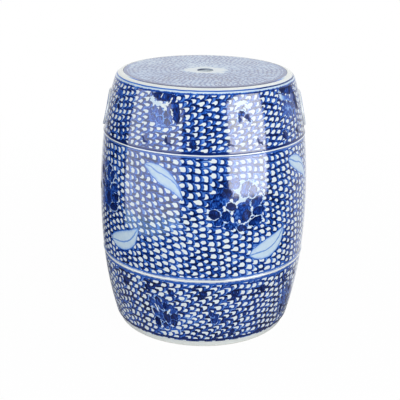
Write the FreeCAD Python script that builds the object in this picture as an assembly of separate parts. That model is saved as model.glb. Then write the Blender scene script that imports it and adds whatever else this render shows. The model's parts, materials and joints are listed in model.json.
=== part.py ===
import FreeCAD, Part
import math
import os

# Garden stool: a hollow porcelain drum, open underneath, luted together from
# wall sections, a seat slab, a rolled shoulder, a foot ring, two raised cordons
# and two pierced coin handles. Millimetres, +Z up, origin in the middle of the
# foot where the stool meets the ground, handles on the X axis.

# Heights of the sections, from the ground up
foot_ring_height = 12.0
lower_section_height = 124.3
middle_section_height = 217.0
upper_section_height = 103.7
belly_above_lower_seam = 88.2

# Outline of the drum
belly_radius = 185.5
belly_arc_radius = 1040.0
lower_arc_radius = 685.0
upper_arc_radius = 500.0
shoulder_radius = 15.0

# Clay thicknesses
wall_thickness = 9.0
seat_thickness = 9.0

# Seat slab
seat_hole_radius = 13.5
seat_hole_rounding = 2.0
seat_edge_bevel = 0.8

# Foot
foot_step = 2.6
foot_flare = 4.0
foot_ring_width = 9.0
foot_edge_rounding = 1.2
wall_edge_rounding = 1.5

# Raised cordons over the two seams of the wall
cordon_width = 5.0
cordon_relief = 1.0

# Coils of clay pressed into the joints on the inside
seam_coil_radius = 5.5

# Pierced coin handles
handle_opening_radius = 24.0
handle_ring_width = 8.0
handle_ring_relief = 3.0
handle_ring_rounding = 1.4
handle_above_cordon = 4.0
coin_recess = 1.5
coin_thickness = 6.0
coin_rim_width = 2.5
coin_bar_width = 4.0
coin_eye_side = 9.0
coin_petals = 4
coin_star_reach = 10.5
coin_arc_radius = 24.0

# Heights that follow from the sections
lower_seam_height = foot_ring_height + lower_section_height
upper_seam_height = lower_seam_height + middle_section_height
stool_height = upper_seam_height + upper_section_height
belly_height = lower_seam_height + belly_above_lower_seam
handle_ring_outer_radius = handle_opening_radius + handle_ring_width
handle_height = upper_seam_height + cordon_width / 2 + handle_above_cordon + handle_ring_outer_radius

# Long enough for a cutting bar to pass through one side of the drum
bar_length = 2 * belly_radius

# Two measurements closer than this are the same
same_size = 1e-4

ORIGIN = FreeCAD.Vector(0, 0, 0)
UP = FreeCAD.Vector(0, 0, 1)


# The outline lies in the XZ plane: x is the radius, z the height
def outline_point(radius, height):
    return FreeCAD.Vector(radius, 0, height)


# Point at a given height on an arc that bulges outwards
def point_on_arc(centre, arc_radius, height):
    rise = height - centre.z
    return outline_point(centre.x + math.sqrt(arc_radius**2 - rise**2), height)


# Point that lies deeper than an outline point, square to its arc
def inwards(point, centre, depth):
    direction = (point - centre).normalize()
    return point - direction * depth


# Edge along an arc that bulges outwards, from one of its points to another
def arc_edge(start, end, centre, arc_radius):
    middle = point_on_arc(centre, arc_radius, (start.z + end.z) / 2)
    return Part.Arc(start, middle, end).toShape()


def line_edge(start, end):
    return Part.makeLine(start, end)


# A turned solid starts on the back, where its start is clear of the handles
def start_on_back(solid):
    solid.rotate(ORIGIN, UP, 90)
    return solid


# Solid of revolution about the stool's axis
def turned(edges):
    return start_on_back(Part.Face(Part.Wire(edges)).revolve(ORIGIN, UP, 360))


# Solid of revolution from the corners of a straight-sided section
def turned_polygon(corners):
    edges = [line_edge(corners[i - 1], corners[i]) for i in range(len(corners))]
    return turned(edges)


# Full circles of a turned solid that have a given radius and height
def circles_at(solid, radius, height):
    found = []
    for edge in solid.Edges:
        if not isinstance(edge.Curve, Part.Circle):
            continue
        same_radius = abs(edge.Curve.Radius - radius) < same_size
        same_height = abs(edge.Curve.Center.z - height) < same_size
        if same_radius and same_height:
            found.append(edge)
    return found


# Three arcs run into one another at the seams of the wall without a kink
belly_centre = outline_point(belly_radius - belly_arc_radius, belly_height)
lower_seam = point_on_arc(belly_centre, belly_arc_radius, lower_seam_height)
upper_seam = point_on_arc(belly_centre, belly_arc_radius, upper_seam_height)
lower_centre = inwards(lower_seam, belly_centre, lower_arc_radius)
upper_centre = inwards(upper_seam, belly_centre, upper_arc_radius)
wall_foot = point_on_arc(lower_centre, lower_arc_radius, foot_ring_height)
belly_arc = (belly_centre, belly_arc_radius)
lower_arc = (lower_centre, lower_arc_radius)
upper_arc = (upper_centre, upper_arc_radius)

# The shoulder's rounding touches both the flat seat and the upper wall
shoulder_height = stool_height - shoulder_radius
shoulder_reach = upper_arc_radius - shoulder_radius
shoulder_rise = shoulder_height - upper_centre.z
seat_radius = upper_centre.x + math.sqrt(shoulder_reach**2 - shoulder_rise**2)
shoulder_centre = outline_point(seat_radius, shoulder_height)
shoulder_seam = inwards(shoulder_centre, upper_centre, -shoulder_radius)

# Inside corners of the joints
seat_corner = outline_point(seat_radius, stool_height - seat_thickness)
upper_corner = inwards(upper_seam, belly_centre, wall_thickness)
lower_corner = inwards(lower_seam, belly_centre, wall_thickness)
foot_corner = point_on_arc(lower_centre, lower_arc_radius - wall_thickness, foot_ring_height)


# Band between two points of an arc of the outline. The depths are measured
# inwards from that arc, so a negative depth stands proud of it
def wall_band(low, high, centre, arc_radius, outer_depth, inner_depth):
    outer_low = inwards(low, centre, outer_depth)
    outer_high = inwards(high, centre, outer_depth)
    inner_low = inwards(low, centre, inner_depth)
    inner_high = inwards(high, centre, inner_depth)
    edges = [arc_edge(outer_low, outer_high, centre, arc_radius - outer_depth)]
    edges.append(line_edge(outer_high, inner_high))
    edges.append(arc_edge(inner_high, inner_low, centre, arc_radius - inner_depth))
    edges.append(line_edge(inner_low, outer_low))
    return turned(edges)


def upper_band(outer_depth, inner_depth):
    return wall_band(upper_seam, shoulder_seam, upper_centre, upper_arc_radius, outer_depth, inner_depth)


def make_seat_slab():
    top = stool_height
    underside = stool_height - seat_thickness
    corners = [outline_point(seat_hole_radius, underside)]
    corners.append(seat_corner)
    corners.append(outline_point(seat_radius, top - seat_edge_bevel))
    corners.append(outline_point(seat_radius - seat_edge_bevel, top))
    corners.append(outline_point(seat_hole_radius, top))
    slab = turned_polygon(corners)
    hole_edges = circles_at(slab, seat_hole_radius, top) + circles_at(slab, seat_hole_radius, underside)
    return slab.makeFillet(seat_hole_rounding, hole_edges)


def make_shoulder_rim():
    outer_top = outline_point(seat_radius, stool_height)
    inner_top = outline_point(seat_radius, stool_height - wall_thickness)
    inner_seam = inwards(shoulder_seam, upper_centre, wall_thickness)
    edges = [arc_edge(shoulder_seam, outer_top, shoulder_centre, shoulder_radius)]
    edges.append(line_edge(outer_top, inner_top))
    edges.append(arc_edge(inner_top, inner_seam, shoulder_centre, shoulder_radius - wall_thickness))
    edges.append(line_edge(inner_seam, shoulder_seam))
    return turned(edges)


# The upper wall has a round window for each handle
def make_upper_wall():
    wall = upper_band(0, wall_thickness)
    for side in (-1, 1):
        wall = wall.cut(handle_bar(handle_opening_radius, side))
    return wall


def make_middle_wall():
    return wall_band(lower_seam, upper_seam, belly_centre, belly_arc_radius, 0, wall_thickness)


def make_lower_wall():
    edges = [arc_edge(wall_foot, lower_seam, lower_centre, lower_arc_radius)]
    edges.append(line_edge(lower_seam, lower_corner))
    edges.append(arc_edge(lower_corner, foot_corner, lower_centre, lower_arc_radius - wall_thickness))
    edges.append(line_edge(foot_corner, wall_foot))
    wall = turned(edges)
    return wall.makeFillet(wall_edge_rounding, circles_at(wall, wall_foot.x, foot_ring_height))


def make_foot_ring():
    top_radius = wall_foot.x - foot_step
    base_radius = top_radius - foot_flare
    inner_radius = base_radius - foot_ring_width
    corners = [outline_point(inner_radius, 0), outline_point(base_radius, 0)]
    corners.append(outline_point(top_radius, foot_ring_height))
    corners.append(outline_point(inner_radius, foot_ring_height))
    ring = turned_polygon(corners)
    resting_edges = circles_at(ring, base_radius, 0) + circles_at(ring, inner_radius, 0)
    return ring.makeFillet(foot_edge_rounding, resting_edges)


# A cordon is a shallow bead laid over a seam, and follows the wall on its back
def make_cordon(seam, arc_below, arc_above):
    low = point_on_arc(*arc_below, seam.z - cordon_width / 2)
    high = point_on_arc(*arc_above, seam.z + cordon_width / 2)
    crest = inwards(seam, belly_centre, -cordon_relief)
    edges = [Part.Arc(low, crest, high).toShape()]
    edges.append(arc_edge(high, seam, *arc_above))
    edges.append(arc_edge(seam, low, *arc_below))
    return turned(edges)


# A seam coil fills the inside corner of a joint: a round coil, less its neighbours
def make_seam_coil(corner, neighbours):
    coil = start_on_back(Part.makeTorus(corner.x, seam_coil_radius, outline_point(0, corner.z), UP))
    for neighbour in neighbours:
        coil = coil.cut(neighbour)
    return largest_solid(coil)


def largest_solid(shape):
    return max(shape.Solids, key=lambda solid: solid.Volume)


# Round bar along X through one side of the drum, on a handle's centre line
def handle_bar(radius, side):
    start = FreeCAD.Vector(0, 0, handle_height)
    return Part.makeCylinder(radius, bar_length, start, FreeCAD.Vector(side, 0, 0))


# Flat-sided bar along X on the same centre line, with its size along Y and Z
def flat_bar(side, width, height):
    corner = FreeCAD.Vector(0, -width / 2, handle_height - height / 2)
    bar = Part.makeBox(bar_length, width, height, corner)
    if side < 0:
        bar.rotate(ORIGIN, UP, 180)
    return bar


# Raised ring around a handle's window, laid on the wall
def make_handle_ring(side):
    ring = upper_band(-handle_ring_relief, 0).common(handle_bar(handle_ring_outer_radius, side))
    ring = largest_solid(ring.cut(handle_bar(handle_opening_radius, side)))
    outermost = max(ring.Faces, key=lambda face: abs(face.CenterOfMass.x))
    return ring.makeFillet(handle_ring_rounding, outermost.Edges)


# Pierced coin that fills a handle's window, a little behind the wall's face
def make_handle_coin(side):
    coin = upper_band(coin_recess, coin_recess + coin_thickness)
    coin = coin.common(handle_bar(handle_opening_radius, side))
    for index in range(coin_petals):
        coin = coin.cut(make_coin_petal(side, index))
    return largest_solid(coin.cut(flat_bar(side, coin_eye_side, coin_eye_side)))


# One of the coin's petal-shaped piercings, which lie between its four bars
def make_coin_petal(side, index):
    angle = 2 * math.pi * (index + 0.5) / coin_petals
    offset = coin_star_reach + coin_arc_radius
    centre = FreeCAD.Vector(0, offset * math.cos(angle), handle_height + offset * math.sin(angle))
    arc_bar = Part.makeCylinder(coin_arc_radius, bar_length, centre, FreeCAD.Vector(side, 0, 0))
    petal = handle_bar(handle_opening_radius - coin_rim_width, side).common(arc_bar)
    petal = petal.cut(flat_bar(side, coin_bar_width, 2 * handle_opening_radius))
    return petal.cut(flat_bar(side, 2 * handle_opening_radius, coin_bar_width))


def make_parts():
    parts = {}
    parts["seat_slab"] = make_seat_slab()
    parts["shoulder_rim"] = make_shoulder_rim()
    parts["upper_wall"] = make_upper_wall()
    parts["middle_wall"] = make_middle_wall()
    parts["lower_wall"] = make_lower_wall()
    parts["foot_ring"] = make_foot_ring()
    parts["upper_cordon"] = make_cordon(upper_seam, belly_arc, upper_arc)
    parts["lower_cordon"] = make_cordon(lower_seam, lower_arc, belly_arc)
    for name, side in (("left", -1), ("right", 1)):
        parts["handle_ring_" + name] = make_handle_ring(side)
        parts["handle_coin_" + name] = make_handle_coin(side)
    parts["seat_seam_coil"] = make_seam_coil(seat_corner, [parts["seat_slab"], parts["shoulder_rim"]])
    parts["upper_seam_coil"] = make_seam_coil(upper_corner, [parts["upper_wall"], parts["middle_wall"]])
    parts["lower_seam_coil"] = make_seam_coil(lower_corner, [parts["middle_wall"], parts["lower_wall"]])
    parts["foot_seam_coil"] = make_seam_coil(foot_corner, [parts["lower_wall"], parts["foot_ring"]])
    return parts


def main():
    os.makedirs("parts", exist_ok=True)
    for name, solid in make_parts().items():
        solid.exportStep("parts/" + name + ".step")
        volume_cm3 = round(solid.Volume / 1000, 2)
        print(name, "solids", len(solid.Solids), "valid", solid.isValid(), "cm3", volume_cm3)
    print("seat radius", round(seat_radius, 2), "wall radius at the foot", round(wall_foot.x, 2))
    print("stool height", stool_height, "handle height", round(handle_height, 2))


main()
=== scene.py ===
import json
import math
import bmesh
import bpy
from mathutils import Matrix, Vector

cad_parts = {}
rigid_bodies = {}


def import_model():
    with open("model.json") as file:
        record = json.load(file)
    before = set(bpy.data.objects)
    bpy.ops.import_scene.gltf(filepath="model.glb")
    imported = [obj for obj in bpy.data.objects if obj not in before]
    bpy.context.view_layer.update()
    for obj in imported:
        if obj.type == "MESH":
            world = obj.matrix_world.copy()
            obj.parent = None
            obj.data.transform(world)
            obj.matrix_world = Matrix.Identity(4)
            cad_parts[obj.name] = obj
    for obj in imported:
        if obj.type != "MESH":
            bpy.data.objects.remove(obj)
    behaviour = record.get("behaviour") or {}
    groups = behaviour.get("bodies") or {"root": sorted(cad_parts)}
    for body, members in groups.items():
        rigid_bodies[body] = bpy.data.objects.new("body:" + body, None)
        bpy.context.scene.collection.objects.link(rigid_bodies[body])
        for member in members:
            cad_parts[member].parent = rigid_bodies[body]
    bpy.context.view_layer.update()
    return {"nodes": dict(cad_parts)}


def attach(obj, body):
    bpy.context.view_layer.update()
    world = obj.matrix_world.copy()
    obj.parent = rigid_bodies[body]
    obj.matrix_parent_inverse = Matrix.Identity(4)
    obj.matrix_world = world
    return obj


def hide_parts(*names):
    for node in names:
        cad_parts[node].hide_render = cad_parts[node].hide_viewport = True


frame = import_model()
print("frame loaded:", len(frame["nodes"]), "clay pieces")

# the drum's outline, in metres: three arcs for the wall and one for the shoulder
drum = dict(
    height=0.457, footTop=0.012, lowerSeam=0.1363, upperSeam=0.3533, bellyHeight=0.2245,
    bellyRadius=0.1854, bellyArc=1.04, lowerArc=0.685, upperArc=0.5, shoulderArc=0.015,
    clay=0.009, stepsAround=224,
)
cameraTurn = -2.0  # degrees that the camera stands round from straight in front


def reachAt(centre, arc, height):  # how far out an arc of the outline is at a height
    return centre.x + math.sqrt(arc ** 2 - (height - centre.y) ** 2)


def angleAt(centre, arc, height):
    return math.asin((height - centre.y) / arc)


bellyCentre = Vector((drum["bellyRadius"] - drum["bellyArc"], drum["bellyHeight"]))
belly = (bellyCentre, drum["bellyArc"])
lowerSeam = Vector((reachAt(*belly, drum["lowerSeam"]), drum["lowerSeam"]))
upperSeam = Vector((reachAt(*belly, drum["upperSeam"]), drum["upperSeam"]))
lowerCentre = lowerSeam - (lowerSeam - bellyCentre).normalized() * drum["lowerArc"]
upperCentre = upperSeam - (upperSeam - bellyCentre).normalized() * drum["upperArc"]
lower = (lowerCentre, drum["lowerArc"])
upper = (upperCentre, drum["upperArc"])
shoulderHeight = drum["height"] - drum["shoulderArc"]
seatRadius = reachAt(upperCentre, drum["upperArc"] - drum["shoulderArc"], shoulderHeight)
shoulderCentre = Vector((seatRadius, shoulderHeight))
shoulderLean = math.atan2(shoulderHeight - upperCentre.y, seatRadius - upperCentre.x)
wallFoot = reachAt(*lower, drum["footTop"])


class Wire:
    # what comes out of a node; adding wires up, multiplying them and so on adds math nodes
    def __init__(self, socket):
        self.socket = socket

    def __add__(self, other):
        return calc("ADD", self, other)

    def __sub__(self, other):
        return calc("SUBTRACT", self, other)

    def __rsub__(self, other):
        return calc("SUBTRACT", other, self)

    def __mul__(self, other):
        return calc("MULTIPLY", self, other)

    def __truediv__(self, other):
        return calc("DIVIDE", self, other)

    def __mod__(self, other):
        return calc("FLOORED_MODULO", self, other)

    def __abs__(self):
        return calc("ABSOLUTE", self)


def addNode(tree, kind, **settings):
    node = tree.nodes.new("ShaderNode" + kind)
    for name, value in settings.items():
        setattr(node, name, value)
    return node


def feed(socket, value):
    if isinstance(value, Wire):
        socket.id_data.links.new(value.socket, socket)
    else:
        socket.default_value = value


def addAfter(inputs, kind, output=0, **settings):
    # adds a node to the tree that its inputs come from, and gives what comes out of it
    wire = next(value for value in inputs.values() if isinstance(value, Wire))
    node = addNode(wire.socket.id_data, kind, **settings)
    for name, value in inputs.items():
        feed(node.inputs[name], value)
    return Wire(node.outputs[output])


def calc(operation, *values):
    return addAfter(dict(enumerate(values)), "Math", operation=operation)


def fade(value, start, end):  # 0 at start, 1 at end, smooth between
    inputs = {"Value": value, "From Min": start, "From Max": end}
    return addAfter(inputs, "MapRange", interpolation_type="SMOOTHSTEP")


def blendValue(factor, first, second):
    return addAfter({0: factor, 2: first, 3: second}, "Mix", data_type="FLOAT")


def blendColour(factor, first, second, way="MIX"):
    return addAfter({0: factor, 6: first, 7: second}, "Mix", 2, data_type="RGBA", blend_type=way)


def splitVector(vector):
    return [Wire(part) for part in addAfter({0: vector}, "SeparateXYZ").socket.node.outputs]


def joinVector(x, y, z=0.0):
    return addAfter({0: x, 1: y, 2: z}, "CombineXYZ")


def place(vector, centre, size, tilt=0.0):  # coordinates in a turned and stretched frame
    inputs = {"Vector": vector, "Location": (*centre, 0), "Scale": (*size, 1),
              "Rotation": (0, 0, math.radians(tilt))}
    return addAfter(inputs, "Mapping", vector_type="TEXTURE")


def lengthOf(vector):
    return addAfter({0: vector}, "VectorMath", "Value", operation="LENGTH")


def noiseOf(vector, scale, detail=2.0, rough=0.5, threefold=False):
    # noise of 0 to 1; threefold gives three noises that differ
    inputs = {"Vector": vector, "Scale": scale, "Detail": detail, "Roughness": rough}
    noise = addAfter(inputs, "TexNoise", 1 if threefold else 0)
    return splitVector(noise) if threefold else noise


def centred(value, spread):  # noise of 0 to 1 turned into -spread to +spread
    return (value - 0.5) * (2 * spread)


def randomOf(x, y, z):
    inputs = {"Vector": joinVector(x, y, z)}
    return splitVector(addAfter(inputs, "TexWhiteNoise", "Color", noise_dimensions="3D"))


def handDrawn(value, points):  # a curve through a few points, from the left end to the right one
    drawn = addAfter({"Value": value}, "FloatCurve")
    mapping = drawn.socket.node.mapping
    curve = mapping.curves[0]
    curve.points[0].location = (0, 0.5)
    curve.points[1].location = (1, 0.5)
    for x, y in points:
        curve.points.new(x, y)
    mapping.update()
    return drawn


def tint(red, green, blue):  # a colour as a screen shows it, for a socket that wants it linear
    levels = [level / 255 for level in (red, green, blue)]
    return (*(x / 12.92 if x < 0.04045 else ((x + 0.055) / 1.055) ** 2.4 for x in levels), 1.0)


# cobalt from the bare glaze to the thickest brush load: density, red, green and blue
cobalt = [
    (0, 233, 237, 234), (0.1, 198, 219, 236), (0.22, 136, 174, 226), (0.38, 68, 122, 210),
    (0.54, 28, 83, 180), (0.7, 14, 53, 136), (0.86, 6, 34, 100), (1, 3, 20, 66),
]
inkShift = dict(colour=(1, 0.86, 0.84, 1), over=(0.1, 0.5))
glaze = dict(
    ior=1.5, smooth=0.06, rough=0.12, patchesPerMetre=9, ripple=0.00035, ripplesPerMetre=26,
    poresPerMetre=420, poreDepth=0.012, sheen=0.5, bareSheen=0.12, coveredAt=0.4, lost=0.42,
    dull=0.3,
)


def emptyTree(owner):
    owner.use_nodes = True
    owner.node_tree.nodes.clear()
    return owner.node_tree


def startMaterial(name):
    material = bpy.data.materials.new(name)
    tree = emptyTree(material)
    shader = addNode(tree, "BsdfPrincipled")
    feed(addNode(tree, "OutputMaterial").inputs["Surface"], Wire(shader.outputs[0]))
    return material, shader, Wire(addNode(tree, "TexCoord").outputs["Object"])


def bumpUp(shader, height, distance):
    feed(shader.inputs["Normal"], addAfter({"Height": height, "Distance": distance}, "Bump"))


def glazeOver(shader, colour, place3d, density=None, heaped=None):
    # the clear glaze: glossy, with faint ripples and pores; where a density is given it shines
    # most over the cobalt, but cobalt laid on in heaps comes through it dull
    feed(shader.inputs["Base Color"], colour)
    shader.inputs["IOR"].default_value = glaze["ior"]
    ripple = noiseOf(place3d, glaze["ripplesPerMetre"], 2.0)
    pores = noiseOf(place3d, glaze["poresPerMetre"], 1.0)
    patch = noiseOf(place3d, glaze["patchesPerMetre"], 3.0)
    rough = patch * (glaze["rough"] - glaze["smooth"]) + glaze["smooth"]
    if density:
        rough = heaped * glaze["dull"] + rough
        covered = fade(density, 0.0, glaze["coveredAt"])
        sheen = covered * (glaze["sheen"] - glaze["bareSheen"]) + glaze["bareSheen"]
        feed(shader.inputs["Specular IOR Level"], heaped * -glaze["lost"] + sheen)
    feed(shader.inputs["Roughness"], rough)
    bumpUp(shader, pores * glaze["poreDepth"] + ripple, glaze["ripple"])


def cobaltColour(density):
    colour = addAfter({0: density}, "ValToRGB")
    stops = colour.socket.node.color_ramp.elements
    stops[0].color, stops[1].color = tint(*cobalt[0][1:]), tint(*cobalt[-1][1:])
    for position, *tone in cobalt[1:-1]:
        stops.new(position).color = tint(*tone)
    return colour


def inked(density, brush, start, end):  # a little greyer from brushful to brushful
    greyer = fade(brush["ink"], start, end) * fade(density, *inkShift["over"])
    return blendColour(greyer, cobaltColour(density), inkShift["colour"], "MULTIPLY")


# painting: lengths are in millimetres, and a density of 1 is the thickest cobalt

# the brush's unevenness: marks per metre, detail, roughness, and whether it's threefold
brushMarks = dict(
    mottle=(70, 3, 0.6, False), fine=(260, 2, 0.5, False), ragged=(190, 2, 0.5, True),
    load=(11, 2, 0.5, False), streak=(160, 2, 0.5, False), ink=(16, 2, 0.5, False),
    swim=(7, 1, 0.5, True), shake=(45, 2, 0.5, True),
)


def startPainting(name):
    material, shader, place3d = startMaterial(name)
    brush = {mark: noiseOf(place3d, *settings) for mark, settings in brushMarks.items()}
    return material, shader, place3d, [axis * 1000.0 for axis in splitVector(place3d)], brush


def azimuthOf(x, y):  # the direction of a point from the drum's axis, 0 at the front
    return calc("ARCTAN2", x, y * -1.0)


def scaleIn(strand, brick, cell, heavy, fine):
    # the fish scale of one column that a point falls in: where its middle is bare, how dark the
    # brush left it, and how far the point lies outside the column's scalloped right side
    column, x, along = strand
    seed = cell["seed"]
    odd = column % 2.0 * (brick * 0.5)
    along = along + (randomOf(column, 3.0, seed)[0] * cell["drift"] + odd)
    chance = randomOf(column, calc("FLOOR", along), seed)
    north = calc("FRACT", along) * cell["tall"] + -0.5 * cell["tall"]
    north = north + centred(chance[1], cell["strayUp"])
    east = x + centred(chance[0], cell["strayAcross"])
    east = north * -cell["slant"] + east
    north = north * cell["flip"]
    # the bare middle: round at the right, drawn out to the left, and flat above the arm
    curled = calc("MAXIMUM", east, 0.0) + calc("MINIMUM", east, 0.0) * cell["curl"]
    size = chance[2] * cell["vary"] + (cell["radius"] - cell["vary"] / 2)
    depth = lengthOf(joinVector(curled, north)) - size + fine
    floor = east * centred(chance[2], cell["tilt"]) + (north + cell["floor"])
    over = calc("MAXIMUM", depth + cell["round"], 0.0)
    under = calc("MAXIMUM", cell["round"] - floor, 0.0)
    corner = lengthOf(joinVector(over, under))
    bare = fade(corner, cell["round"] + cell["soft"], cell["round"] - cell["soft"])
    # the stroke swells round the right side and pales outwards; the arm below is the darkest
    swell = fade(east, *cell["swells"]) * (cell["line"] - cell["thin"]) + cell["thin"]
    ring = fade(depth - swell, *cell["paling"])
    armEnd = fade(floor, -cell["armThick"] - cell["armSoft"], -cell["armThick"])
    arm = fade(floor, *cell["arm"]) * armEnd
    tone = calc("MAXIMUM", ring, arm) * (cell["tone"] - cell["gap"]) + cell["gap"]
    tone = arm * cell["armTone"] + tone + centred(chance[0], cell["stroke"])
    fromBulge = north + cell["lowBulge"]
    dip = fromBulge * fromBulge * (cell["dip"] / (0.5 * cell["tall"]) ** 2)
    dip = calc("MINIMUM", dip, cell["deepest"])
    outside = east - (heavy * cell["thick"] + size) + (dip + fine)
    return bare, tone, outside


def paintScales(left, own, brick, cell, brush, eased=None):
    # the column to the left overlaps the point's own column
    heavy = centred(brush["load"], cell["swell"]) + 1.0
    if eased:
        heavy = eased * -cell["easedBy"] + heavy
    fine = centred(brush["fine"], cell["edge"])
    bare, tone, _ = scaleIn(own, brick, cell, heavy, fine)
    _, leftTone, outside = scaleIn(left, brick, cell, heavy, fine)
    beside = fade(outside, -cell["soft"], cell["soft"])
    uneven = centred(brush["mottle"], cell["mottle"]) + centred(brush["load"], cell["load"])
    tone = blendValue(beside, leftTone, tone) + uneven
    return tone * (1.0 - bare * beside)


petalLook = dict(
    colour=(1.07, 0.93), edge=(0.55, 0.95), edgeDarker=0.2, topDarker=0.09, heap=(1.05, 0.8),
    heapFrom=0.12, rim=1.3, rimTone=0.06, bareBelow=-0.5, bareTone=0.3,
)


def paintPetals(density, heaped, sheet, wash, petals, centre):
    # petals laid one over another, darker along their edges; where a rim is given, a bare
    # line is left here and there round the petal
    for east, up, wide, tall, tilt, tone, *rim in petals:
        spot = place(sheet, (centre[0] + east, centre[1] + up), (wide, tall), tilt)
        reach = lengthOf(spot) + wash["fine"]
        if rim:
            gap = 1 + petalLook["rim"] / min(wide, tall)
            halo = fade(reach, gap + 0.1, gap - 0.04) * rim[0]
            density = blendValue(halo * wash["gaps"], density, petalLook["rimTone"])
        if tone >= petalLook["heapFrom"]:
            heaped = calc("MAXIMUM", heaped, fade(reach, *petalLook["heap"]))
        if tone > petalLook["bareBelow"]:
            dark = splitVector(spot)[1] * petalLook["topDarker"] + (wash["fill"] + tone)
            dark = fade(reach, *petalLook["edge"]) * petalLook["edgeDarker"] + dark
        else:
            dark = wash["bare"] + petalLook["bareTone"] * (1 + tone)
        density = blendValue(fade(reach, *petalLook["colour"]), density, dark)
    return density, heaped


leafLook = dict(
    wash=0.07, streaks=0.07, edgeDarker=0.06, edgeWidth=5, veinTone=0.3,
    veinWidth=(2, 0.4), line=0.42, outline=(-2.3, -1.4), inside=(-0.8, 0.5),
    ends=(0.515, 0.5),
)


def paintLeaf(density, sheet, streak, leaf, foot):
    # a bent leaf between two hand-drawn edges, with one curved vein
    long = leaf["long"]
    along, across, _ = splitVector(place(sheet, foot, (long, long), leaf["turn"]))
    across = across + 0.5
    above = (handDrawn(along, leaf["upper"]) - across) * long
    below = (across - handDrawn(along, leaf["lower"])) * long
    fromVein = abs((across - handDrawn(along, leaf["vein"])) * long)
    deep = calc("MINIMUM", above, below)
    ends = fade(abs(along - 0.5), *leafLook["ends"])
    wash = streak * leafLook["streaks"] + leafLook["wash"]
    wash = fade(deep, leafLook["edgeWidth"], 0.0) * leafLook["edgeDarker"] + wash
    wash = blendValue(fade(fromVein, *leafLook["veinWidth"]), wash, leafLook["veinTone"])
    density = blendValue(fade(deep, *leafLook["outline"]) * ends, density, leafLook["line"])
    return blendValue(fade(deep, *leafLook["inside"]) * ends, density, wash)


def lineAt(value, middle, halfWidth, soft=0.35):  # 1 on a brushed line
    return fade(abs(value - middle), halfWidth + soft, halfWidth - soft)


# the painted unit comes four times round the drum, and closer together on the front
unit = dict(sway=4.9, start=4.34)


def unitPlace(band, azimuth):  # how far into the unit, for a direction seen from the camera
    turned = azimuth + cameraTurn
    folded = turned + unit["sway"] * math.sin(math.radians(turned)) + unit["start"]
    return (folded / 90) % 1 * band["unitWide"]


# how far the hand shakes, and how uneven the flowers' washes are
hand = dict(
    acrossScales=2.3, upScales=2, sheet=1.6, line=0.35, petalEdge=0.3,
    petalStreaks=0.22, fill=0.7, fillMottle=0.45, fillHatch=0.7, gaps=(0.4, 0.54),
    leastTone=0.03, heapedScales=(1.05, 1.3), bareTone=0.03, sidesFilled=0.52,
    sides=(0.74, 0.84),
)


def paintGround(band, brush, azimuth, height):
    # columns of scales, leaning a little to the right going down
    cell = band["cell"]
    turns = azimuth / (2 * math.pi)
    swim, shake = brush["swim"], brush["shake"]
    swimAcross = centred(swim[0], band["swim"]) + centred(shake[0], hand["acrossScales"])
    swimUp = centred(swim[1], band["swim"]) + centred(shake[1], hand["upScales"])
    up = (height + swimUp - band["bottom"]) / cell["tall"]
    across = swimAcross * (1 / cell["wide"]) + turns * band["columns"]
    across = up * band["lean"] + across
    x = calc("FRACT", across) * cell["wide"] + (cell["aside"] - 0.5 * cell["wide"])
    column = calc("FLOOR", across) % band["columns"]
    left = ((column - 1.0) % band["columns"], x + cell["wide"], up)
    eased = fade(height, *band["eased"]) if band["eased"] else None
    brick = fade(height, *band["brick"])
    scales = paintScales(left, (column, x, up), brick, cell, brush, eased)
    return calc("MAXIMUM", scales, hand["leastTone"])


def paintFlowers(band, brush, density, azimuth, height):
    # the unit's own sheet, with its flowers and leaves
    shake, ragged = brush["shake"], brush["ragged"]
    folded = calc("SINE", azimuth) * math.radians(unit["sway"]) + azimuth
    folded = folded / (math.pi / 2) + unit["start"] / 90
    into = calc("FRACT", folded) * band["unitWide"]
    into = into + centred(shake[2], hand["sheet"]) + centred(ragged[0], band["ragged"])
    up = height + centred(shake[0], hand["sheet"]) + centred(ragged[1], band["ragged"])
    sheet = joinVector(into, up)
    hatch = noiseOf(place(sheet, (0, 0), band["hatch"], band["hatchTilt"]), 1.0, 2.0)
    fill = centred(brush["mottle"], hand["fillMottle"]) + centred(hatch, hand["fillHatch"])
    fine = centred(brush["fine"], hand["petalEdge"])
    # bare grounds are filled in on the flowers at the drum's two sides
    sideways = fade(abs(calc("SINE", azimuth)), *hand["sides"])
    wash = dict(
        fill=fill + hand["fill"],
        fine=fine + centred(brush["streak"], hand["petalStreaks"]),
        gaps=fade(brush["mottle"], *hand["gaps"]),
        bare=sideways * hand["sidesFilled"] + hand["bareTone"],
    )
    heaped = fade(density, *hand["heapedScales"]) * 0.5
    for turned, level, petals in band["flowers"]:
        centre = (unitPlace(band, turned), level)
        density, heaped = paintPetals(density, heaped, sheet, wash, petals, centre)
    for leaf in band["leaves"]:
        foot = (unitPlace(band, leaf["azimuth"]), leaf["height"])
        density = paintLeaf(density, sheet, brush["streak"], leaf, foot)
    return density, heaped


def paintLines(band, brush, density, y, height):
    # brushed lines along the cordons and round the handles
    shake = centred(brush["shake"][1], hand["line"])
    lineHeight = height + shake
    for middle, halfWidth, tone in band["lines"]:
        density = blendValue(lineAt(lineHeight, middle, halfWidth), density, tone)
    for limit, side in band["bareBeyond"]:
        beyond = fade(lineHeight, limit - 0.3 * side, limit + 0.3 * side)
        density = blendValue(beyond, density, 0.0)
    if band["handles"]:
        handles = band["handles"]
        reach = lengthOf(joinVector(y, height - handles["height"])) + shake
        for outer, inner, tone in handles["rings"]:
            density = blendValue(fade(reach, outer, inner), density, tone)
    return density


def paintBand(name, band):
    material, shader, place3d, (x, y, z), brush = startPainting(name)
    azimuth = azimuthOf(x, y)
    density = paintGround(band, brush, azimuth, z)
    density, heaped = paintFlowers(band, brush, density, azimuth, z)
    density = paintLines(band, brush, density, y, z)
    glazeOver(shader, inked(density, brush, *band["ink"]), place3d, density, heaped)
    return material


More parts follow.
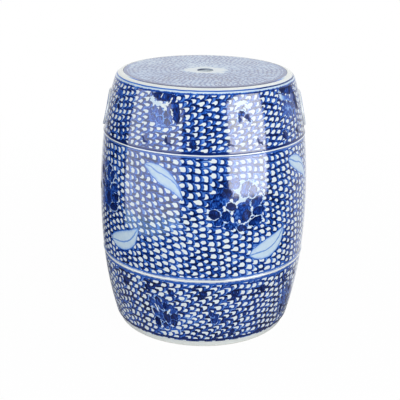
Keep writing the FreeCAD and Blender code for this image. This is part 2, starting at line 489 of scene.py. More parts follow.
# each petal: east, up, half width, half height (mm), tilt, tone (-1 is bare), and how strong
# its bare rim is, if it has one
peonyPetals = [
    (-27.7, 6.5, 18.5, 24, 8, 0), (-20, 30, 13, 11, -15, 0), (30.6, -9, 13.5, 24, 0, 0),
    (2.4, -22, 26, 13, 0, -0.04), (2, 2, 20, 13, 0, -0.08), (12.6, 32.5, 22, 15, -8, -0.8),
    (3, 20, 11, 10, -8, -0.8), (-5.8, 43, 6.4, 9.8, -4, -0.08, 1),
    (11.4, 32, 9.6, 14.4, -24, -0.04, 1), (24.2, 27, 7.4, 10.4, -16, 0, 1),
    (37.4, 20, 7.2, 6, -10, -0.1, 1), (38.2, 19.5, 3.8, 3, -10, -1),
    (-18.9, 40.5, 6.6, 6, 0, 0.05), (-29.6, 32, 8.6, 6, -20, 0, 0.3),
    (-21, 27, 8.6, 8.6, 10, 0.12, 0.15), (-35.4, 20.5, 8.6, 7.6, -25, 0.04, 0.3),
    (-25, 14, 8.8, 7.6, 15, -0.1, 0.15), (-38.3, 8, 9.6, 7.6, -15, -0.02, 0.4),
    (-6.3, 19, 5.4, 7.4, 10, 0, 0.5), (-34.4, -21, 8.4, 7, 10, 0, 0.3),
    (-42.2, -8, 10.2, 7.8, -8, 0.14, 1), (-21.8, -12, 7, 10, 5, 0.05, 0.9),
    (-14.1, 4, 9, 6.4, -18, 0.14, 1), (-17, -30, 9.2, 5.8, -18, 0, 0.4),
    (31.5, 9.5, 12, 8, 22, -0.06, 1), (35, -8, 12, 7.6, 14, 0.1, 1),
    (30.2, -25.5, 13.4, 7.4, 18, 0.1, 1), (5.3, -34, 8.6, 6, -10, 0.14, 0.9),
    (6.4, -13.4, 17.4, 15.2, 0, -1), (4.4, -11.5, 16.4, 14.8, 0, -0.06),
    (-4, -9.5, 6, 11, 12, -0.22), (12.5, -13, 6.6, 10.4, -14, 0.12),
    (5.3, 1.5, 8, 5.4, 0, -0.02, 0.2), (-14, 14.5, 2.6, 3.6, 20, -1),
    (-4.5, 9.5, 2.6, 4, -20, -1), (-25.8, 1.5, 2.4, 4.6, 15, -1),
    (-12.4, -6.5, 2.4, 3.4, 0, -1), (-12.2, -18.5, 2.8, 4.6, 10, -1),
    (22.5, -3, 2.2, 3.8, -10, -1), (0.5, -22.5, 2.2, 3.2, 25, -1),
]
asterPetals = [
    (2, 25, 25, 7, -4, 0.12), (-2, -7, 23, 12, -6, -0.24), (25, 3, 7.6, 19, 8, 0.14),
    (17, 21, 12, 5.4, -10, 0.12), (15, 9, 5, 9, -25, -0.1), (-11, 13, 17, 3.4, -14, -0.8),
    (-21, 18, 7, 3, -30, -0.8), (3, 9, 8, 2.6, -30, -1), (13, 18, 1.4, 9, -34, -1),
    (-4, 26, 1, 4.5, -18, -1), (26, 22, 0.9, 5.5, -24, -1), (19, 0, 1.3, 6, 24, -1),
    (-14, 3, 4.4, 6, 60, -0.05, 0.5), (-3, 2, 4.4, 6, 20, 0, 0.5), (8, -3, 4.2, 8, 25, 0, 0.5),
    (-15, -9, 5.8, 5.4, -40, -0.15, 0.4), (-3, -11, 6, 5.8, 10, -0.1, 0.4),
    (12, -15, 5.4, 6.5, 35, 0.02, 0.4),
]
budPetals = [
    (0, 19, 11, 3.4, 0, -0.95), (-9, 13, 5.6, 2.6, 30, -0.95), (11, 12, 6, 2.4, -25, -0.95),
    (-1, 3, 7, 5, 24, 0.22, 0.9), (9, -4, 3.8, 7.4, 40, 0.2, 0.8),
    (-6, -5, 2.8, 6.2, 12, 0.14, 0.7), (2, -6, 2.4, 4, 0, -1),
]
spikyPetals = [
    (-8, -2, 20, 22, 12, -0.1), (2, -14, 17, 12, 0, -0.05), (-24, 14, 4.8, 13, 30, -0.1, 0.6),
    (-13, 17, 5, 13, 24, 0.02, 0.8), (-3, 22, 4.2, 10, 20, 0, 0.5),
    (-2, 12, 4.4, 8, 12, 0.15, 0.5), (8, 8, 5.2, 11, 12, 0.02, 0.6),
    (-22, -6, 5.6, 12, 18, 0, 0.6), (-19, -24, 5.4, 12, 10, 0.14, 0.9),
    (-9, -9, 5, 12, 16, -0.05, 0.8), (0, -9, 6.2, 12, 8, 0.1, 0.6),
    (13, -8, 6.4, 9, -8, 0.06, 0.5), (12, -20, 6.4, 6, 10, 0.1, 0.5),
    (-3, -29, 5.6, 7, 30, 0, 0.5), (-18, 5, 1.4, 9, 24, -1), (-27, -4, 1.2, 8, 16, -1),
    (3, 3, 1.6, 6, -30, -1),
]
dotPetal = [
    (0.6, 0, 5, 6.4, 8, 0.02), (-3.6, -1, 2.2, 6.2, 16, 0.2), (1.5, -5.2, 4.4, 2, -20, 0.16),
]
sprayPetals = [(0, 0, 6, 10, 8, 0.05, 0.5), (-6, 9, 3, 7, 30, 0, 0.6)]
smallBud = [(0, 0, 4, 6, 0, 0.08, 0.2)]
longBud = [(0, 0, 5, 10, -15, 0.05, 0.3)]


def dots(azimuths, height):  # a row of dots that wanders up and down a little
    return [(azimuth, height + 1.5 * math.sin(azimuth), dotPetal) for azimuth in azimuths]


cellShape = dict(
    aside=-0.8, drift=0.55, radius=4, vary=2, strayAcross=1.2, strayUp=0.8, slant=0,
    flip=1, curl=0.5, floor=3.1, tilt=0.28, round=1.8, soft=0.45, thick=6.6, line=2.5,
    thin=1, swells=(-1, 3), paling=(0.9, -0.7), swell=0.45, dip=4, lowBulge=0.9,
    deepest=4.4, arm=(1, -0.6), armThick=2.9, armSoft=0.8, gap=0.45, tone=0.79, armTone=0.07,
    stroke=0.1, mottle=0.4, load=0.22, edge=1.1, easedBy=0.14,
)

# a flower is (azimuth, height, petals) and a line (height, half width, tone); a leaf's edges
# and its vein are curves along its length
middleBand = dict(
    columns=94, bottom=141, lean=0.11, brick=(340, 250), eased=(240, 180), swim=11,
    unitWide=268.7, cell=dict(cellShape, seed=5, wide=12.4, tall=11.6), ink=(0.42, 0.68),
    ragged=1.2, hatch=(1.6, 6), hatchTilt=-10, flowers=[(18.75, 264.5, peonyPetals)],
    leaves=[
        dict(azimuth=-32.1, height=331, long=86, turn=-36.5,
             upper=[(0.07, 0.6), (0.18, 0.676), (0.37, 0.727), (0.65, 0.706), (0.86, 0.6)],
             lower=[(0.12, 0.462), (0.25, 0.451), (0.5, 0.466), (0.75, 0.507)],
             vein=[(0.1, 0.545), (0.27, 0.575), (0.48, 0.64), (0.69, 0.655), (0.94, 0.56)]),
        dict(azimuth=25.5, height=179, long=79.5, turn=28.5,
             upper=[(0.1, 0.56), (0.25, 0.578), (0.52, 0.562), (0.78, 0.521)],
             lower=[(0.065, 0.364), (0.24, 0.226), (0.49, 0.16), (0.75, 0.221), (0.91, 0.363)],
             vein=[(0.2, 0.417), (0.46, 0.334), (0.74, 0.355), (0.91, 0.446)]),
    ],
    lines=[(141.5, 1.4, 0.44), (349.8, 1, 0.5)], bareBeyond=[(139.6, -1), (350.6, 1)],
    handles=None,
)
upperBand = dict(
    columns=86, bottom=357, lean=0.06, brick=(352, 353), eased=None, swim=8,
    unitWide=249,
    cell=dict(cellShape, seed=9, wide=12.3, tall=10.1, drift=0.7, radius=3.65, thick=6.5,
              slant=0.36, flip=-1, floor=2.6),
    ink=(0.5, 0.75), ragged=4.2, hatch=(1.5, 8), hatchTilt=8,
    flowers=[(-24.5, 417, asterPetals), (21.5, 415, budPetals)]
    + dots((14.25, 31.5, 50.25, 64.6, 79), 373),
    leaves=[], lines=[(356.9, 1.6, 0.86), (448.4, 1, 0.5)], bareBeyond=[(355.4, -1)],
    handles=dict(height=391.8, rings=[(34.6, 34, 0.78), (32.5, 31.9, 0)]),
)
lowerBand = dict(
    columns=92, bottom=17, lean=0.26, brick=(0, 10), eased=None, swim=8,
    unitWide=250,
    cell=dict(cellShape, seed=14, wide=11.6, tall=11.8, drift=0.8, radius=4.3, vary=2.6,
              strayUp=1.4, stroke=0.16, mottle=0.5, thick=5.2, dip=2.8, deepest=3, slant=0.36,
              flip=-1),
    ink=(0.25, 0.55), ragged=2.4, hatch=(1.5, 9), hatchTilt=12,
    flowers=[(-20, 69, spikyPetals), (7.8, 62, sprayPetals), (25.5, 67, smallBud),
             (18.75, 29.5, longBud)] + dots((0.5, 18, 35.6, 52.8, 67.3), 112),
    leaves=[], lines=[(16.5, 2.1, 0.88), (131.2, 2, 0.5)],
    bareBeyond=[(12.6, -1), (133.6, 1)], handles=None,
)
seatLook = dict(
    swim=7, shake=2.2, turnShake=0.7, wash=0.08, washUneven=0.1,
    lighter=(-60, 140), lighterBy=0.24, frontTone=1.04, grey=0.5, greyFrom=(0.05, 0.4),
    # the grey on the next line is a painted reflection of the pale sky, laid over the seat's
    # strokes
    skyReflectionGrey=tint(128, 130, 140), patch=(38, 29), patchEdge=(1.3, 0.8), patchShake=0.6,
    patchTone=0.05, holeLine=456.4, holeTop=(0.35, -0.15), holeLow=(0.4, 1.6),
    holeDry=(13, -6), holeTone=0.92, edgeLine=(138.2, 2.6), edgeFront=(90, -60),
    edgeTone=0.62,
    cell=dict(cellShape, seed=21, wide=7.8, tall=8.2, edge=0.7, aside=-0.5, drift=1,
              radius=2.6, vary=1.6, strayAcross=1.3, strayUp=1, dip=1.6, lowBulge=0.5,
              deepest=2, thick=3.2, line=3.2, thin=0.9, floor=1.9, round=1, soft=1.1,
              arm=(0.6, -0.6), armThick=2, gap=0.32, tone=0.41, armTone=0.1, stroke=0.12,
              mottle=0.5, load=0.4),
)


def paintSeat(name, seat):
    material, shader, place3d, (x, y, z), brush = startPainting(name)
    cell, swim, shake = seat["cell"], brush["swim"], brush["shake"]
    flatPlace = joinVector(x, y)
    out = lengthOf(flatPlace) + centred(shake[0], seat["shake"])
    turns = azimuthOf(x, y) / (2 * math.pi)
    # rings of scales that bulge outwards, each ring with a whole number of them
    rings = (out + centred(swim[1], seat["swim"])) / cell["wide"]
    inRing = calc("FRACT", rings) * cell["wide"] + (cell["aside"] - 0.5 * cell["wide"])
    strands = []
    for step in (1, 0):
        ring = calc("FLOOR", rings) - float(step)
        count = calc("ROUND", (ring + 0.5) * (2 * math.pi * cell["wide"] / cell["tall"]))
        along = turns * count + centred(shake[1], seat["turnShake"])
        strands.append((ring, inRing + step * cell["wide"], along))
    density = paintScales(*strands, 1.0, cell, brush)
    density = calc("MAXIMUM", density, swim[2] * seat["washUneven"] + seat["wash"])
    density = density * (fade(y, *seat["lighter"]) * -seat["lighterBy"] + seat["frontTone"])
    # a bare patch round the hole, and a line on the hole's inner edge that runs dry on the right
    fromHole = lengthOf(place(flatPlace, (0, 0), seat["patch"]))
    patch = fade(fromHole + centred(shake[1], seat["patchShake"]), *seat["patchEdge"])
    density = blendValue(patch, density, seat["patchTone"])
    below = z - seat["holeLine"]
    aboveLow = below + (fade(x, *seat["holeDry"]) * seat["holeLow"][1] + seat["holeLow"][0])
    onEdge = fade(below, *seat["holeTop"]) * fade(aboveLow, -0.3, 0.3)
    density = blendValue(onEdge, density, seat["holeTone"])
    # the line round the disc is heavier towards the front
    frontWeighted = fade(y, *seat["edgeFront"]) * lineAt(out, *seat["edgeLine"])
    density = blendValue(frontWeighted, density, seat["edgeTone"])
    # the strokes are greyed towards a lilac grey, a painted reflection of the pale sky on the
    # glazed seat
    reflectionGreyShare = fade(density, *seat["greyFrom"]) * seat["grey"]
    glazeOver(shader, blendColour(reflectionGreyShare, cobaltColour(density), seat["skyReflectionGrey"]), place3d)
    return material


# white glaze with a few brushed lines; a wash is (top, tone)
plainLook = dict(
    handleHeight=None, lines=[], lineShake=0.5, washes=[], washEdge=0.4, rim=None,
    rimFront=(-50, -115), rimTone=0.95, stains=(0.55, 0.9), stainTone=0.05, load=0.35,
    fresh=0, freshFrom=(70, 95),
)
# the rim line fades from the front to the back as painted shade, in place of the reflections that
# pale it there
shoulderLook = dict(plainLook, lines=[(452.7, 0.85, 0.48)], rim=(144, 2.1), fresh=0.4,
                    washes=[(451.7, 0.09), (449.4, 0.5), (448.4, 0.66)])
upperCordonLook = dict(plainLook, lines=[(351, 1.4, 0.62), (355.9, 1.3, 0.84)])
lowerCordonLook = dict(plainLook, lines=[(133.2, 1.6, 0.6), (139.7, 1.4, 0.62)])
handleLook = dict(plainLook, handleHeight=391.8, lines=[(25.6, 0.9, 0.7), (30.6, 0.9, 0.7)])
coinLook = dict(handleLook, lines=[(22.6, 1, 0.75), (5.4, 1.4, 0.6), (12, 0.9, 0.5)])


def paintPlain(name, plain):
    # the lines lie at given heights, or at given distances round a handle's middle
    material, shader, place3d, (x, y, z), brush = startPainting(name)
    measure = z
    if plain["handleHeight"]:
        measure = lengthOf(joinVector(y, z - plain["handleHeight"]))
    measure = measure + centred(brush["shake"][1], plain["lineShake"])
    density = fade(brush["mottle"], *plain["stains"]) * plain["stainTone"]
    for top, tone in plain["washes"]:
        ground = centred(brush["mottle"], tone * 0.9) + tone
        edge = measure + centred(brush["fine"], 3.0 * tone)
        wet = fade(edge, top + plain["washEdge"], top - plain["washEdge"])
        density = blendValue(wet, density, ground)
    reloaded = fade(x, *plain["freshFrom"])  # a fresh brushful on the right
    load = centred(brush["load"], plain["load"])
    for middle, halfWidth, tone in plain["lines"]:
        heavy = reloaded * plain["fresh"] + (load + tone)
        density = blendValue(lineAt(measure, middle, halfWidth), density, heavy)
    if plain["rim"]:  # heavier towards the front: painted shade, standing in for the reflections that pale the line at the sides and back
        frontWeighted = fade(y, *plain["rimFront"]) * lineAt(lengthOf(joinVector(x, y)), *plain["rim"])
        density = blendValue(frontWeighted, density, plain["rimTone"])
    glazeOver(shader, cobaltColour(density), place3d)
    return material


clayLook = dict(
    dark=tint(196, 188, 174), light=tint(222, 216, 204), speck=tint(150, 132, 112),
    speckFrom=(0.7, 0.78), grainPerMetre=900, smearsPerMetre=22, smooth=0.7, rougher=0.2,
    tooth=0.0004,
)


def bareClay(name, clay):
    material, shader, place3d = startMaterial(name)
    grain = noiseOf(place3d, clay["grainPerMetre"], 3.0, 0.65)
    smear = noiseOf(place3d, clay["smearsPerMetre"], 3.0)
    warm = blendColour(smear, clay["dark"], clay["light"])
    speck = fade(grain, *clay["speckFrom"]) * 0.5
    feed(shader.inputs["Base Color"], blendColour(speck, warm, clay["speck"]))
    feed(shader.inputs["Roughness"], grain * clay["rougher"] + clay["smooth"])
    bumpUp(shader, smear * 2.0 + grain, clay["tooth"])
    return material


middlePaint = paintBand("middleBandPaint", middleBand)
upperPaint = paintBand("upperBandPaint", upperBand)
lowerPaint = paintBand("lowerBandPaint", lowerBand)
seatPaint = paintSeat("seatPaint", seatLook)
shoulderPaint = paintPlain("shoulderPaint", shoulderLook)
whiteGlaze = paintPlain("whiteGlaze", plainLook)
upperCordonPaint = paintPlain("upperCordonPaint", upperCordonLook)
lowerCordonPaint = paintPlain("lowerCordonPaint", lowerCordonLook)
handlePaint = paintPlain("handlePaint", handleLook)
coinPaint = paintPlain("coinPaint", coinLook)
clay = bareClay("bareClay", clayLook)
print("materials mixed")


facingOut = 0.5  # how squarely a face has to look outwards to be glazed
sharpFrom = 35  # degrees between the faces at an edge that stays sharp


def same(first, second):  # two lengths, to a hundredth of a millimetre
    return abs(first - second) < 1e-5


def drawProfile(bm, runs):
    # a run is a point (radius, height), or an arc: centre, radius, start and end angle, steps.
    # one vertex spun round the arc's centre leaves the arc's chain of edges
    ends = []
    for run in runs:
        if len(run) == 2:
            first = last = bm.verts.new((run[0], 0, run[1]))
        else:
            centre, arc, start, end, steps = run
            hub = Vector((centre.x, 0, centre.y))
            first = bm.verts.new(hub + arc * Vector((math.cos(start), 0, math.sin(start))))
            swept = bmesh.ops.spin(bm, geom=[first], cent=hub, axis=(0, 1, 0),
                                   angle=start - end, steps=steps)
            last = vertsOf(swept["geom_last"])[0]
        ends.append((first, last))
    for here, there in zip(ends, ends[1:] + ends[:1]):
        bm.edges.new((here[1], there[0]))


def vertsOf(parts):
    return [part for part in parts if isinstance(part, bmesh.types.BMVert)]


def meshOf(name, bm):
    mesh = bpy.data.meshes.new(name)
    bm.to_mesh(mesh)
    bm.free()
    return mesh


def addObject(name, data):
    made = bpy.data.objects.new(name, data)
    bpy.context.scene.collection.objects.link(made)
    return made


def finishPiece(name, bm, materials, node, sharp=sharpFrom):
    mesh = meshOf(name, bm)
    piece = addObject(name, mesh)
    for material in materials:
        mesh.materials.append(material)
    mesh.shade_smooth()
    mesh.set_sharp_from_angle(angle=math.radians(sharp))
    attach(piece, "root")
    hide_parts(node)
    return piece


def turnPiece(runs, around=drum["stepsAround"]):
    bm = bmesh.new()
    drawProfile(bm, runs)
    bmesh.ops.spin(bm, geom=bm.verts[:] + bm.edges[:], cent=(0, 0, 0), axis=(0, 0, 1),
                   angle=2 * math.pi, steps=around, use_merge=True)
    bmesh.ops.remove_doubles(bm, verts=bm.verts, dist=1e-6)
    bmesh.ops.recalc_face_normals(bm, faces=bm.faces)
    return bm


def glazeOutside(bm, shows):  # faces that don't show the glaze get the second material
    for face in bm.faces:
        middle = face.calc_center_median()
        outwards = Vector((middle.x, middle.y, 0)).normalized().dot(face.normal)
        face.material_index = 0 if shows(middle, outwards) else 1


def bevel(bm, edges, radius, segments):
    bmesh.ops.bevel(bm, geom=edges, offset=radius, segments=segments, profile=0.5,
                    affect="EDGES", material=-1)


def roundOff(bm, radius, segments, wanted):
    # rounds the edges that run round the axis where wanted(radius, height) holds
    found = []
    for edge in bm.edges:
        here, there = [(vert.co.xy.length, vert.co.z) for vert in edge.verts]
        runsRound = same(here[0], there[0]) and same(here[1], there[1])
        if runsRound and wanted(*here) and wanted(*there):
            found.append(edge)
    bevel(bm, found, radius, segments)


def turnWall(curve, outer, inner, steps):
    centre, arc = curve
    bm = turnPiece([
        (centre, arc, outer[0], outer[1], steps),
        (centre, arc - drum["clay"], inner[1], inner[0], steps // 2),
    ])
    glazeOutside(bm, lambda middle, outwards: outwards > facingOut)
    return bm


bellyLow = angleAt(*belly, drum["lowerSeam"])
bellyHigh = angleAt(*belly, drum["upperSeam"])
footOut = angleAt(*lower, drum["footTop"])
footIn = angleAt(lowerCentre, drum["lowerArc"] - drum["clay"], drum["footTop"])

bm = turnWall(belly, (bellyLow, bellyHigh), (bellyLow, bellyHigh), steps=40)
finishPiece("middleWall", bm, [middlePaint, clay], "middle_wall")

# the lower wall's bottom edge is wiped round above the foot
wallEdge = 0.0015
bm = turnWall(lower, (footOut, bellyLow), (footIn, bellyLow), steps=30)
roundOff(bm, wallEdge, 4,
         lambda reach, height: same(height, drum["footTop"]) and same(reach, wallFoot))
finishPiece("lowerWall", bm, [lowerPaint, clay], "lower_wall")

bm = turnWall(upper, (bellyHigh, shoulderLean), (bellyHigh, shoulderLean), steps=30)
upperWall = finishPiece("upperWall", bm, [upperPaint, clay], "upper_wall")


def cutOut(piece, bm, lining):  # takes closed shapes out of a piece; the cut faces get the lining
    cutter = addObject("cutter", meshOf("cutter", bm))
    cutter.data.materials.append(lining)
    cut = piece.modifiers.new("cut", "BOOLEAN")
    cut.operation = "DIFFERENCE"
    cut.solver = "EXACT"
    cut.object = cutter
    cutPiece = piece.evaluated_get(bpy.context.evaluated_depsgraph_get())
    left = bpy.data.meshes.new_from_object(cutPiece)
    piece.modifiers.clear()
    bpy.data.objects.remove(cutter)
    bm = bmesh.new()
    bm.from_mesh(left)
    bmesh.ops.remove_doubles(bm, verts=bm.verts, dist=2e-6)
    bmesh.ops.dissolve_degenerate(bm, dist=2e-6, edges=bm.edges)
    bm.to_mesh(left)
    bm.free()
    piece.data = left


# round windows for the two coin handles; level is the share of a height off the wall that
# points level outwards
handle = dict(
    height=0.3918, opening=0.024, ring=0.032, ringRows=6, relief=0.003, rounding=0.0014,
    sunk=0.0004, stepsAround=96, level=0.98, cutLong=0.5,
)


def windowPlug(thick, matrix=Matrix()):  # a cylinder as wide as a handle's window
    bm = bmesh.new()
    bmesh.ops.create_cone(bm, cap_ends=True, segments=handle["stepsAround"], depth=thick,
                          radius1=handle["opening"], radius2=handle["opening"], matrix=matrix)
    return bm


acrossDrum = Matrix.Translation((0, 0, handle["height"])) @ Matrix.Rotation(math.pi / 2, 4, "Y")
cutOut(upperWall, windowPlug(handle["cutLong"], acrossDrum), clay)
upperWall.data.set_sharp_from_angle(angle=math.radians(sharpFrom))
print("walls turned")

# rolled shoulder; its arc is glazed from this far out
shoulderGlazed = 0.012
bm = turnPiece([
    (shoulderCentre, drum["shoulderArc"], shoulderLean, math.pi / 2, 32),
    (shoulderCentre, drum["shoulderArc"] - drum["clay"], math.pi / 2, shoulderLean, 12),
])
glazeOutside(bm, lambda middle, outwards: shoulderGlazed
             < (Vector((middle.xy.length, middle.z)) - shoulderCentre).length)
finishPiece("shoulderRim", bm, [shoulderPaint, clay], "shoulder_rim")

# seat slab with its finger hole
seat = dict(
    thick=0.009, hole=0.0135, rounding=0.002, edge=0.0008, glazedFrom=0.002,
    rows=(0.02, 0.035, 0.06, 0.09, 0.12),
)
top, underside = drum["height"], drum["height"] - seat["thick"]
bm = turnPiece(
    [(seat["hole"], underside)] + [(r, underside) for r in seat["rows"]]
    + [(seatRadius, underside), (seatRadius, top - seat["edge"])]
    + [(seatRadius - seat["edge"], top)]
    + [(r, top) for r in reversed(seat["rows"])] + [(seat["hole"], top)])
roundOff(bm, seat["rounding"], 6, lambda reach, height: same(reach, seat["hole"]))
glazeOutside(bm, lambda middle, outwards: middle.z > underside + seat["glazedFrom"])
finishPiece("seatSlab", bm, [seatPaint, clay], "seat_slab")

# foot ring, glazed outside, wiped bare where it stands
foot = dict(step=0.0026, flare=0.004, wide=0.009, edge=0.0012)
footTopRadius = wallFoot - foot["step"]
footBase = footTopRadius - foot["flare"]
footInner = footBase - foot["wide"]
bm = turnPiece([(footInner, 0), (footBase, 0),
                (footTopRadius, drum["footTop"]), (footInner, drum["footTop"])])
roundOff(bm, foot["edge"], 4, lambda reach, height: same(height, 0))
glazeOutside(bm, lambda middle, outwards: outwards > facingOut and middle.z > foot["edge"])
finishPiece("footRing", bm, [whiteGlaze, clay], "foot_ring")
print("shoulder, seat and foot turned")

# raised cordons over the two seams
cordon = dict(wide=0.005, relief=0.001, sunk=0.0003)
for name, node, paint, seam, below, above in (
        ("upperCordon", "upper_cordon", upperCordonPaint, upperSeam, belly, upper),
        ("lowerCordon", "lower_cordon", lowerCordonPaint, lowerSeam, lower, belly)):
    low, high = seam.y - cordon["wide"] / 2, seam.y + cordon["wide"] / 2
    lowPoint = Vector((reachAt(*below, low), low))
    highPoint = Vector((reachAt(*above, high), high))
    chord = (highPoint - lowPoint).length
    beadArc = (chord ** 2 / 4 + cordon["relief"] ** 2) / (2 * cordon["relief"])
    lean = math.atan2(seam.y - bellyCentre.y, seam.x - bellyCentre.x)
    outwards = Vector((math.cos(lean), math.sin(lean)))
    hub = seam + outwards * cordon["relief"] - outwards * beadArc
    half = math.asin(chord / 2 / beadArc)
    bm = turnPiece([(hub, beadArc, lean - half, lean + half, 12),
                    (seam.x - cordon["sunk"], seam.y)])
    finishPiece(name, bm, [paint], node, sharp=60)
print("cordons laid on")

# coin handles: a raised ring round each window, and the pierced coin in it
coin = dict(
    recess=0.0015, thick=0.006, rim=0.0025, rimSteps=24, bar=0.004, eye=0.009, petalFrom=0.0105,
    petalArc=0.024, petalSteps=144, cutDeep=0.02, softened=0.0005, folds=5, foldEvery=0.004,
    foldAside=0.0003, sharp=40,
)


def trimAway(bm, out, reach, clear, dist):
    # draws a cut across at a distance from the middle, and clears what lies beyond it
    bmesh.ops.bisect_plane(bm, geom=bm.verts[:] + bm.edges[:] + bm.faces[:], dist=dist,
                           plane_co=out * reach, plane_no=out, clear_outer=clear)


def bendOntoWall(bm, side, fromWall):
    # stands a flat piece up and bends it onto the wall; its height above the flat becomes its
    # height off the wall
    for vert in bm.verts:
        sideways, upwards = vert.co.x, vert.co.y + handle["height"]
        reach = reachAt(*upper, upwards) + (vert.co.z + fromWall) * handle["level"]
        vert.co = (side * math.sqrt(reach ** 2 - sideways ** 2), sideways, upwards)
    if bm.calc_volume(signed=True) < 0:
        bmesh.ops.reverse_faces(bm, faces=bm.faces)


def addPetal(cutter, turn):
    # a petal is a disc trimmed by the coin's rim and by the bars on its two sides
    bm = bmesh.new()
    toward = Vector((math.cos(turn), math.sin(turn), 0))
    middle = toward * (coin["petalFrom"] + coin["petalArc"])
    bmesh.ops.create_circle(bm, cap_ends=True, segments=coin["petalSteps"],
                            radius=coin["petalArc"], matrix=Matrix.Translation(middle))
    for beside in (Vector((toward.x, 0, 0)), Vector((0, toward.y, 0))):
        trimAway(bm, -beside.normalized(), -coin["bar"] / 2, True, 1e-7)
    for step in range(coin["rimSteps"]):
        angle = turn + math.pi / 2 * ((step + 0.5) / coin["rimSteps"] - 0.5)
        out = Vector((math.cos(angle), math.sin(angle), 0))
        trimAway(bm, out, handle["opening"] - coin["rim"], True, 1e-7)
    swept = bmesh.ops.extrude_face_region(bm, geom=bm.faces[:])["geom"]
    bmesh.ops.translate(bm, vec=(0, 0, coin["cutDeep"]), verts=vertsOf(swept))
    bmesh.ops.translate(bm, vec=(0, 0, -coin["cutDeep"] / 2), verts=bm.verts)
    bmesh.ops.recalc_face_normals(bm, faces=bm.faces)
    cutter.from_mesh(meshOf("petal", bm))


def makeRing(side):
    inner, outer = handle["opening"], handle["ring"]
    rows = handle["ringRows"]
    across = [inner + (outer - inner) * n / rows for n in range(rows + 1)]
    bm = turnPiece([(r, handle["relief"]) for r in across]
                   + [(r, -handle["sunk"]) for r in reversed(across)], handle["stepsAround"])
    roundOff(bm, handle["rounding"], 5,
             lambda reach, height: same(height, handle["relief"])
             and (same(reach, inner) or same(reach, outer)))
    bendOntoWall(bm, side, 0.0)
    return bm


for side, word in ((-1, "Left"), (1, "Right")):
    finishPiece("handleRing" + word, makeRing(side), [handlePaint],
                "handle_ring_" + word.lower(), sharp=50)

    piece = finishPiece("handleCoin" + word, windowPlug(coin["thick"]), [coinPaint],
                        "handle_coin_" + word.lower())
    cutter = bmesh.new()
    eyeSize = Matrix.Diagonal((coin["eye"], coin["eye"], coin["cutDeep"], 1))
    bmesh.ops.create_cube(cutter, size=1, matrix=eyeSize)
    for quarter in range(4):
        addPetal(cutter, math.pi / 2 * (quarter + 0.5))
    cutOut(piece, cutter, coinPaint)
    bm = bmesh.new()
    bm.from_mesh(piece.data)
    # lines across it, so that it can bend, and softened edges
    for direction in (Vector((1, 0, 0)), Vector((0, 1, 0))):
        for fold in range(-coin["folds"], coin["folds"] + 1):
            reach = fold * coin["foldEvery"] + coin["foldAside"]
            trimAway(bm, direction, reach, False, 1e-6)
    corners = [e for e in bm.edges
               if e.calc_face_angle(0) > 1 and same(e.verts[0].co.z, e.verts[1].co.z)]
    bevel(bm, corners, coin["softened"], 3)
    bendOntoWall(bm, side, -coin["recess"] - coin["thick"] / 2)
    bm.to_mesh(piece.data)
    bm.free()
    piece.data.shade_smooth()
    piece.data.set_sharp_from_angle(angle=math.radians(coin["sharp"]))
print("handles set in")

# the coils inside keep their shape, in bare clay
for node in ("seat_seam_coil", "upper_seam_coil", "lower_seam_coil", "foot_seam_coil"):
    mesh = frame["nodes"][node].data
    mesh.materials.clear()
    mesh.materials.append(clay)


stage = dict(
    floorSize=30, white=0.92, ownNear=0.97, whiteFrom=(0.25, 1.6), sky=0.66, toRight=0.35,
    behind=(0.25, 0.8), room=0.1, backdrop=1, floorNear=0.3, floorFar=0.03,
    darkens=(0.24, 0.5),
)


def rayKinds(tree):  # camera rays, and rays that reflections or clear things send out
    path = addNode(tree, "LightPath")
    glossy, clear = Wire(path.outputs["Is Glossy Ray"]), Wire(path.outputs["Is Transmission Ray"])
    return Wire(path.outputs["Is Camera Ray"]), calc("MAXIMUM", glossy, clear)


def behindStool(x, y):  # 1 towards the lit backdrop, 0 towards the dim room in front
    return fade(x * stage["toRight"] + y, *stage["behind"])


# the floor is white paper to the camera, darker where it's seen mirrored in the stool
bm = bmesh.new()
bmesh.ops.create_grid(bm, x_segments=1, y_segments=1, size=stage["floorSize"] / 2)
floor = addObject("floor", meshOf("floor", bm))
floorPaper = bpy.data.materials.new("floorPaper")
tree = emptyTree(floorPaper)
paper = addNode(tree, "BsdfDiffuse")
paper.inputs["Color"].default_value = (stage["white"],) * 3 + (1,)
glow = addNode(tree, "Emission")
blend = addNode(tree, "MixShader")
seen, mirrored = rayKinds(tree)
spot = Wire(addNode(tree, "TexCoord").outputs["Object"])
away = lengthOf(spot)
x, y, z = splitVector(addAfter({0: spot}, "VectorMath", operation="NORMALIZE"))
ownLight = blendValue(fade(away, *stage["whiteFrom"]), stage["ownNear"], 1.0)
nearStool = blendValue(fade(away, *stage["darkens"]), stage["floorNear"], stage["floorFar"])
inMirror = blendValue(behindStool(x, y), nearStool, stage["backdrop"])
feed(glow.inputs["Strength"], blendValue(mirrored, 1.0, inMirror))
feed(blend.inputs[0], calc("MAXIMUM", seen * ownLight, mirrored))
feed(blend.inputs[1], Wire(paper.outputs[0]))
feed(blend.inputs[2], Wire(glow.outputs[0]))
feed(addNode(tree, "OutputMaterial").inputs["Surface"], Wire(blend.outputs[0]))
floor.data.materials.append(floorPaper)

# the sky is white to the camera, plain grey as light, and in reflections a lit backdrop
# behind the stool with a dim room in front
world = bpy.data.worlds.new("studio")
bpy.context.scene.world = world
tree = emptyTree(world)
seen, mirrored = rayKinds(tree)
x, y, z = splitVector(Wire(addNode(tree, "TexCoord").outputs["Generated"]))
reflected = blendValue(behindStool(x, y), stage["room"], stage["backdrop"])
strength = blendValue(mirrored, stage["sky"], reflected)
sky = addNode(tree, "Background")
sky.inputs["Color"].default_value = (1, 1, 1, 1)
feed(sky.inputs["Strength"], blendValue(seen, strength, 1.0))
feed(addNode(tree, "OutputWorld").inputs["Surface"], Wire(sky.outputs[0]))


def levelAt(azimuth):  # a level direction; 0 is the front
    return Vector((math.sin(math.radians(azimuth)), -math.cos(math.radians(azimuth)), 0))


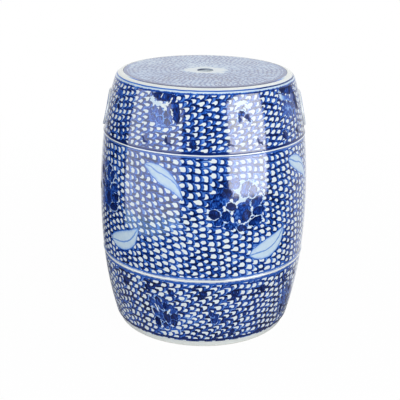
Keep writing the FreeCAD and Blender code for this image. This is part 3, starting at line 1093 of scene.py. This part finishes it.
def addPanel(name, size, middle, toward, energy):  # a rectangular light
    light = bpy.data.lights.new(name, "AREA")
    light.shape = "RECTANGLE"
    light.size, light.size_y = size
    light.energy = energy
    lamp = addObject(name, light)
    lamp.location = middle
    lamp.rotation_euler = toward.to_track_quat("-Z", "Y").to_euler()
    lamp.visible_camera = lamp.visible_transmission = False
    return lamp


key = dict(azimuth=16, away=1.9, height=1.7, aim=0.25, size=(1.6, 1.2), energy=22.5)
middle = levelAt(key["azimuth"]) * key["away"] + Vector((0, 0, key["height"]))
keyLamp = addPanel("key", key["size"], middle, Vector((0, 0, key["aim"])) - middle, key["energy"])
keyLamp.visible_glossy = False

# bright panels that only reflections see. The seat is left out: it lies flat under them, and
# seen from the back it would only mirror them
mirroring = bpy.data.collections.new("mirroring")
for piece in bpy.context.scene.objects:
    if piece.type == "MESH" and piece.name not in ("seatSlab", "floor"):
        mirroring.objects.link(piece)

leftPanel = dict(azimuth=-60, origin=(-0.08, -0.155, 0), away=0.4, left=-0.302, right=0.3315)
glares = dict(
    glareRight=dict(azimuth=50, origin=(0.075, -0.165, 0), away=0.9, left=-0.419, right=0.385,
                    bottom=0.063, top=0.79, radiance=12, colour=(0.95, 0.965, 0.97)),
    glareLeft=dict(leftPanel, bottom=0.105, top=0.575, radiance=4.2, colour=(0.82, 0.87, 1)),
    glareLow=dict(leftPanel, bottom=0.048, top=0.105, radiance=4.4, colour=(0.52, 0.78, 1)),
)
for name, glare in glares.items():
    facing = levelAt(glare["azimuth"] + cameraTurn)
    sideways = Vector((-facing.y, facing.x, 0))
    wide, tall = glare["right"] - glare["left"], glare["top"] - glare["bottom"]
    middle = Vector(glare["origin"]) + facing * glare["away"]
    middle += sideways * (glare["right"] + glare["left"]) / 2
    middle.z = (glare["top"] + glare["bottom"]) / 2
    energy = glare["radiance"] * math.pi * wide * tall
    lamp = addPanel(name, (wide, tall), middle, -facing, energy)
    lamp.data.color = glare["colour"]
    lamp.visible_diffuse = False
    lamp.light_linking.receiver_collection = mirroring

# the camera that the photograph's outline was fitted with
view = dict(away=1.5663, height=0.7647, down=19.27, left=0.211, roll=0.829, lens=81.77)
lens = bpy.data.cameras.new("camera")
lens.lens = view["lens"]
lens.sensor_width = 36
lens.clip_start, lens.clip_end = 0.05, 60
camera = addObject("camera", lens)
turn = math.radians(cameraTurn)
camera.matrix_world = (
    Matrix.Translation(levelAt(cameraTurn) * view["away"] + Vector((0, 0, view["height"])))
    @ Matrix.Rotation(turn + math.radians(view["left"]), 4, "Z")
    @ Matrix.Rotation(math.radians(90 - view["down"]), 4, "X")
    @ Matrix.Rotation(math.radians(view["roll"]), 4, "Z"))
bpy.context.scene.camera = camera
bpy.context.scene.view_settings.view_transform = "Standard"
print("stage set")
